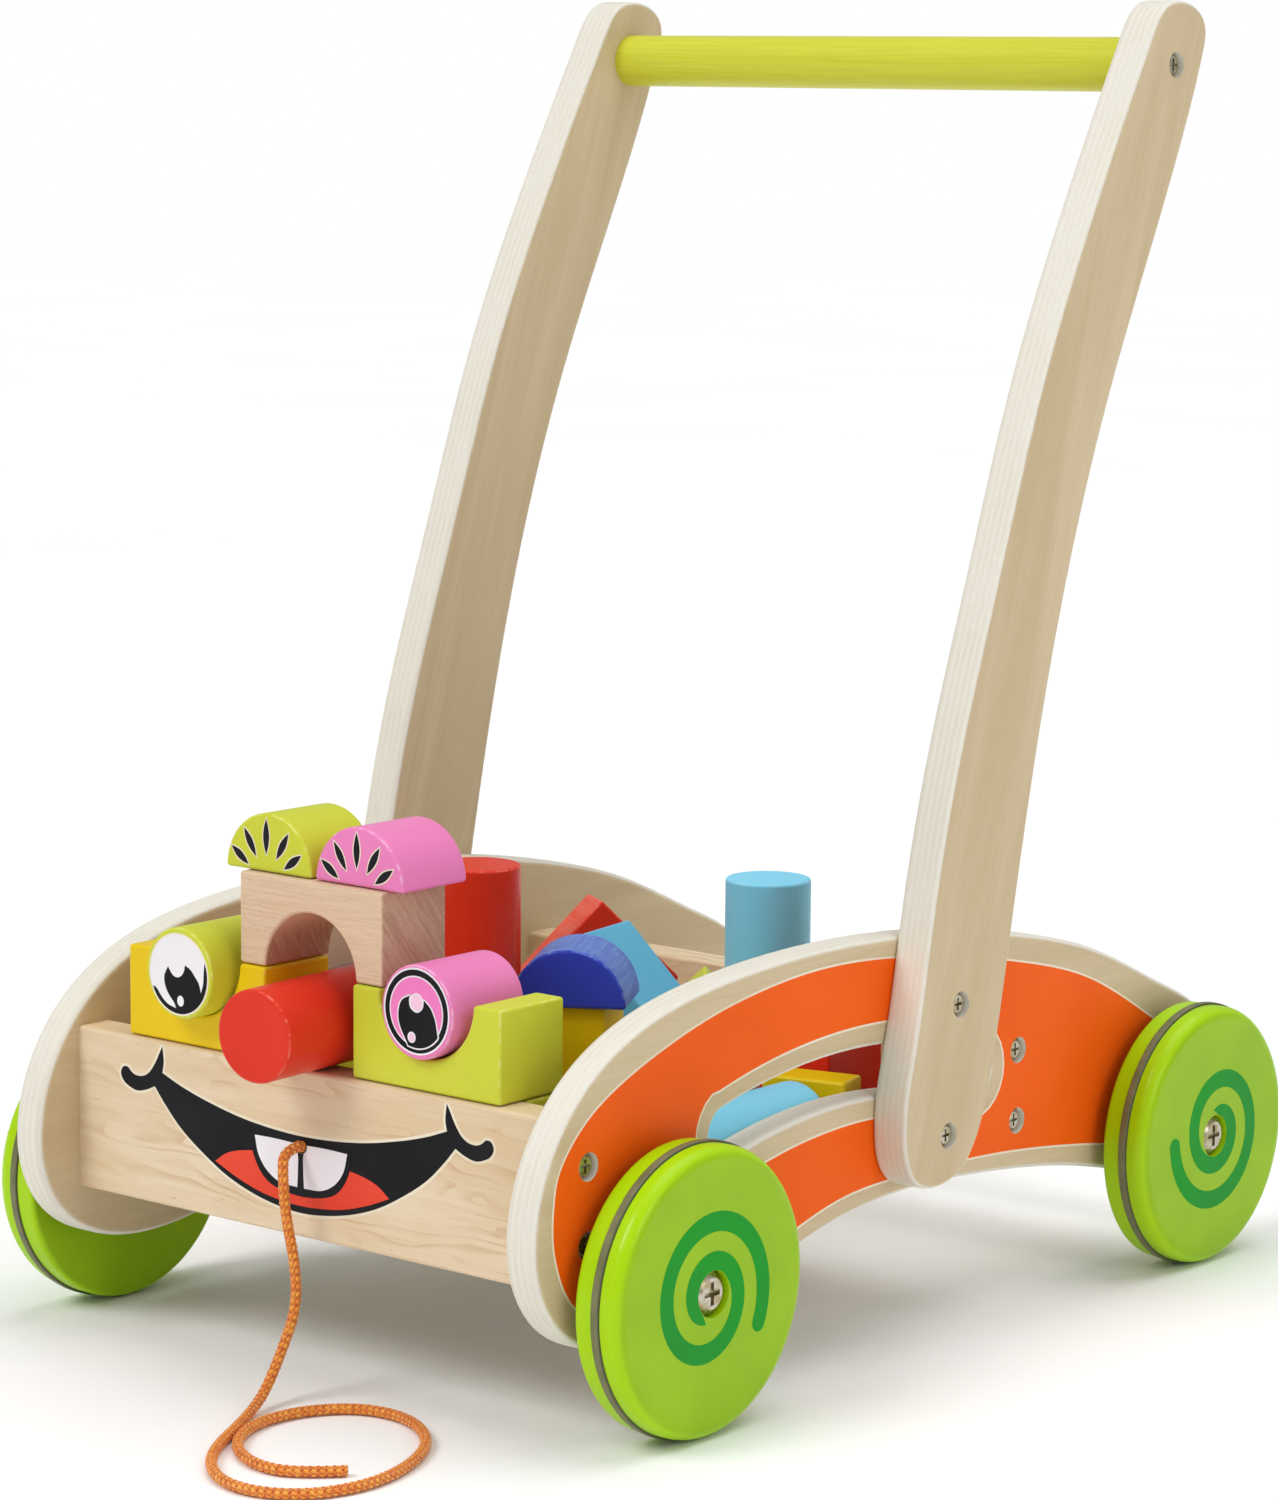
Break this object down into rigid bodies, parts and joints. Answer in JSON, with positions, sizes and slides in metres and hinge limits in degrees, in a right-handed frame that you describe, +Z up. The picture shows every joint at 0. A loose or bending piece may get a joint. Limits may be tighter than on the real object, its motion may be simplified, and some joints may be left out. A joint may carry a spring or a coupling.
{
  "type": "baby walker",
  "caption": "Wooden push cart on rubber-ringed wheels, with plywood sides, a raised handle bar, a pull cord and a tray loaded with building blocks.",
  "frame": {"origin": "on the floor, in the middle of the cart's bounding box without its cord", "axes": "+Z up, the smiling front board faces -Y, +X to the right seen from the front"},
  "size_m": [0.2926, 0.4964, 0.4755],
  "materials": {
    "birch_ply": "birch plywood, clear satin lacquer, plies showing on the edges",
    "pine": "knotty pine, clear satin lacquer",
    "bar_paint": "wood painted lime yellow, gloss",
    "wheel_paint": "wood painted apple green, gloss",
    "rubber": "olive rubber ring, matt",
    "zinc": "yellow zinc plated steel",
    "yellow_paint": "wood painted yellow, gloss",
    "lime_paint": "wood painted lime, gloss",
    "pink_paint": "wood painted pink, gloss",
    "red_paint": "wood painted red, gloss",
    "orange_paint": "wood painted orange, gloss",
    "dark_blue_paint": "wood painted dark blue, gloss",
    "light_blue_paint": "wood painted light blue, gloss",
    "beech": "bare beech, sanded",
    "cord": "braided orange polyester cord"
  },
  "bodies": {
    "cart": {"side_panel_left": "birch_ply", "side_panel_right": "birch_ply", "front_board": "pine", "rear_board": "pine", "tray_base": "birch_ply", "base_rails": "pine", "handle_arm_left": "birch_ply", "handle_arm_right": "birch_ply", "handle_bar": "bar_paint", "bar_screws": "zinc", "arm_screws": "zinc", "front_board_screws": "zinc", "rear_board_screws": "zinc", "axle_front": "zinc", "axle_rear": "zinc", "wheel_spacers": "beech", "wheel_washers": "zinc", "wheel_screws": "zinc", "cord_knot": "cord", "pull_cord": "cord", "stowed_natural_bricks": "beech", "stowed_lime_planks": "lime_paint", "stowed_orange_bricks": "orange_paint"},
    "front_right_wheel": {"front_right_inner_disc": "wheel_paint", "front_right_outer_disc": "wheel_paint", "front_right_rubber_ring": "rubber"},
    "front_left_wheel": {"front_left_inner_disc": "wheel_paint", "front_left_outer_disc": "wheel_paint", "front_left_rubber_ring": "rubber"},
    "rear_right_wheel": {"rear_right_inner_disc": "wheel_paint", "rear_right_outer_disc": "wheel_paint", "rear_right_rubber_ring": "rubber"},
    "rear_left_wheel": {"rear_left_inner_disc": "wheel_paint", "rear_left_outer_disc": "wheel_paint", "rear_left_rubber_ring": "rubber"},
    "yellow_cradle_block": {"yellow_cradle": "yellow_paint"},
    "lime_cradle_block": {"lime_cradle": "lime_paint"},
    "lime_eye_cylinder_block": {"lime_eye_cylinder": "lime_paint"},
    "pink_eye_cylinder_block": {"pink_eye_cylinder": "pink_paint"},
    "red_nose_cylinder_block": {"red_nose_cylinder": "red_paint"},
    "beech_bridge_block": {"beech_bridge": "beech"},
    "lime_brow_half_round_block": {"lime_brow_half_round": "lime_paint"},
    "pink_brow_half_round_block": {"pink_brow_half_round": "pink_paint"},
    "red_standing_cylinder_block": {"red_standing_cylinder": "red_paint"},
    "yellow_standing_brick_block": {"yellow_standing_brick": "yellow_paint"},
    "blue_half_round_block": {"blue_half_round": "dark_blue_paint"},
    "light_blue_prism_block": {"light_blue_prism": "light_blue_paint"},
    "red_prism_block": {"red_prism": "red_paint"},
    "light_blue_rear_cylinder_block": {"light_blue_rear_cylinder": "light_blue_paint"},
    "lime_prism_block": {"lime_prism": "lime_paint"},
    "light_blue_side_cylinder_block": {"light_blue_side_cylinder": "light_blue_paint"},
    "yellow_half_brick_block": {"yellow_half_brick": "yellow_paint"},
    "red_standing_brick_block": {"red_standing_brick": "red_paint"},
    "dark_blue_long_brick_block": {"dark_blue_long_brick": "dark_blue_paint"},
    "lime_low_half_round_block": {"lime_low_half_round": "lime_paint"},
    "pink_low_cylinder_block": {"pink_low_cylinder": "pink_paint"},
    "yellow_low_brick_block": {"yellow_low_brick": "yellow_paint"}
  },
  "joints": [
    {"name": "front_right_wheel_spin", "type": "hinge", "parent": "cart", "child": "front_right_wheel", "pos_m": [0.137, -0.141, 0.05], "axis": [1, 0, 0], "continuous": true},
    {"name": "front_left_wheel_spin", "type": "hinge", "parent": "cart", "child": "front_left_wheel", "pos_m": [-0.137, -0.141, 0.05], "axis": [1, 0, 0], "continuous": true},
    {"name": "rear_right_wheel_spin", "type": "hinge", "parent": "cart", "child": "rear_right_wheel", "pos_m": [0.137, 0.162, 0.05], "axis": [1, 0, 0], "continuous": true},
    {"name": "rear_left_wheel_spin", "type": "hinge", "parent": "cart", "child": "rear_left_wheel", "pos_m": [-0.137, 0.162, 0.05], "axis": [1, 0, 0], "continuous": true},
    {"name": "yellow_cradle_slides_out", "type": "slide", "parent": "cart", "child": "yellow_cradle_block", "axis": [0, -1, 0], "range_m": [0, 0.03]},
    {"name": "lime_cradle_slides_out", "type": "slide", "parent": "cart", "child": "lime_cradle_block", "axis": [0, -1, 0], "range_m": [0, 0.03]},
    {"name": "lime_eye_cylinder_slides_out", "type": "slide", "parent": "yellow_cradle_block", "child": "lime_eye_cylinder_block", "axis": [0, -1, 0], "range_m": [0, 0.03]},
    {"name": "pink_eye_cylinder_slides_out", "type": "slide", "parent": "lime_cradle_block", "child": "pink_eye_cylinder_block", "axis": [0, -1, 0], "range_m": [0, 0.03]},
    {"name": "red_nose_cylinder_slides_out", "type": "slide", "parent": "cart", "child": "red_nose_cylinder_block", "axis": [0.0645, -0.9979, 0], "range_m": [0, 0.06]},
    {"name": "beech_bridge_lifts_off", "type": "slide", "parent": "cart", "child": "beech_bridge_block", "axis": [0, 0, 1], "range_m": [0, 0.05]},
    {"name": "lime_brow_half_round_lifts_off", "type": "slide", "parent": "beech_bridge_block", "child": "lime_brow_half_round_block", "axis": [0, 0, 1], "range_m": [0, 0.05]},
    {"name": "pink_brow_half_round_lifts_off", "type": "slide", "parent": "beech_bridge_block", "child": "pink_brow_half_round_block", "axis": [0, 0, 1], "range_m": [0, 0.05]},
    {"name": "red_standing_cylinder_lifts_off", "type": "slide", "parent": "cart", "child": "red_standing_cylinder_block", "axis": [0, 0, 1], "range_m": [0, 0.05]},
    {"name": "yellow_standing_brick_lifts_off", "type": "slide", "parent": "cart", "child": "yellow_standing_brick_block", "axis": [0, 0, 1], "range_m": [0, 0.05]},
    {"name": "blue_half_round_lifts_off", "type": "slide", "parent": "yellow_standing_brick_block", "child": "blue_half_round_block", "axis": [0, 0, 1], "range_m": [0, 0.05]},
    {"name": "light_blue_prism_lifts_off", "type": "slide", "parent": "cart", "child": "light_blue_prism_block", "axis": [0, 0, 1], "range_m": [0, 0.05]},
    {"name": "red_prism_lifts_off", "type": "slide", "parent": "cart", "child": "red_prism_block", "axis": [0, 0, 1], "range_m": [0, 0.05]},
    {"name": "light_blue_rear_cylinder_lifts_off", "type": "slide", "parent": "cart", "child": "light_blue_rear_cylinder_block", "axis": [0, 0, 1], "range_m": [0, 0.05]},
    {"name": "lime_prism_lifts_off", "type": "slide", "parent": "cart", "child": "lime_prism_block", "axis": [0, 0, 1], "range_m": [0, 0.05]},
    {"name": "light_blue_side_cylinder_lifts_off", "type": "slide", "parent": "cart", "child": "light_blue_side_cylinder_block", "axis": [0, 0, 1], "range_m": [0, 0.05]},
    {"name": "yellow_half_brick_lifts_off", "type": "slide", "parent": "cart", "child": "yellow_half_brick_block", "axis": [0, 0, 1], "range_m": [0, 0.05]},
    {"name": "red_standing_brick_lifts_off", "type": "slide", "parent": "cart", "child": "red_standing_brick_block", "axis": [0, 0, 1], "range_m": [0, 0.05]},
    {"name": "dark_blue_long_brick_lifts_off", "type": "slide", "parent": "cart", "child": "dark_blue_long_brick_block", "axis": [0, 0, 1], "range_m": [0, 0.05]},
    {"name": "lime_low_half_round_lifts_off", "type": "slide", "parent": "cart", "child": "lime_low_half_round_block", "axis": [0, 0, 1], "range_m": [0, 0.05]},
    {"name": "pink_low_cylinder_lifts_off", "type": "slide", "parent": "cart", "child": "pink_low_cylinder_block", "axis": [0, 0, 1], "range_m": [0, 0.05]},
    {"name": "yellow_low_brick_lifts_off", "type": "slide", "parent": "cart", "child": "yellow_low_brick_block", "axis": [0, 0, 1], "range_m": [0, 0.05]}
  ]
}
